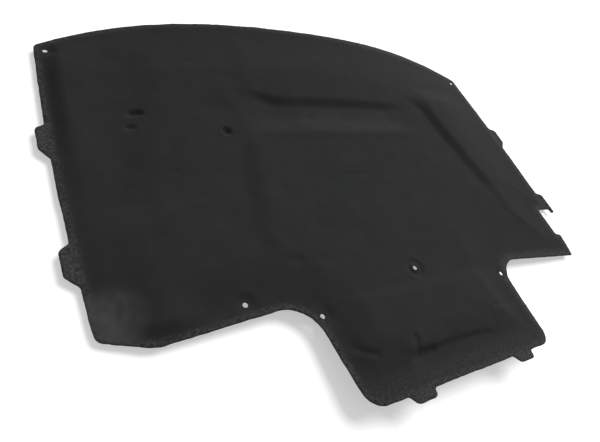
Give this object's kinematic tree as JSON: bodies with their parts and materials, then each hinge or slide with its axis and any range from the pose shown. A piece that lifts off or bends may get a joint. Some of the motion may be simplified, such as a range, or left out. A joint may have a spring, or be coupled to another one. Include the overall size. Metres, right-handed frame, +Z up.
{
  "type": "hood insulation pad",
  "caption": "Black moulded felt pad for the inside of a car hood, with a front tongue, a pressed thin rim, clip holes and tuck-in tabs.",
  "frame": {"origin": "on the centre line, midway between the rear edge and the front tabs, level with the lowest point of the pad as it lies engine side up", "axes": "+X across the car towards the side with the cut-out, +Y towards the windscreen, +Z up out of the engine side"},
  "size_m": [1.3194, 0.979, 0.0685],
  "materials": {
    "black_felt": "matt needled felt, thermally pressed, slightly smoother along the thin rim"
  },
  "bodies": {
    "root": {"insulation_pad": "black_felt"}
  },
  "joints": []
}
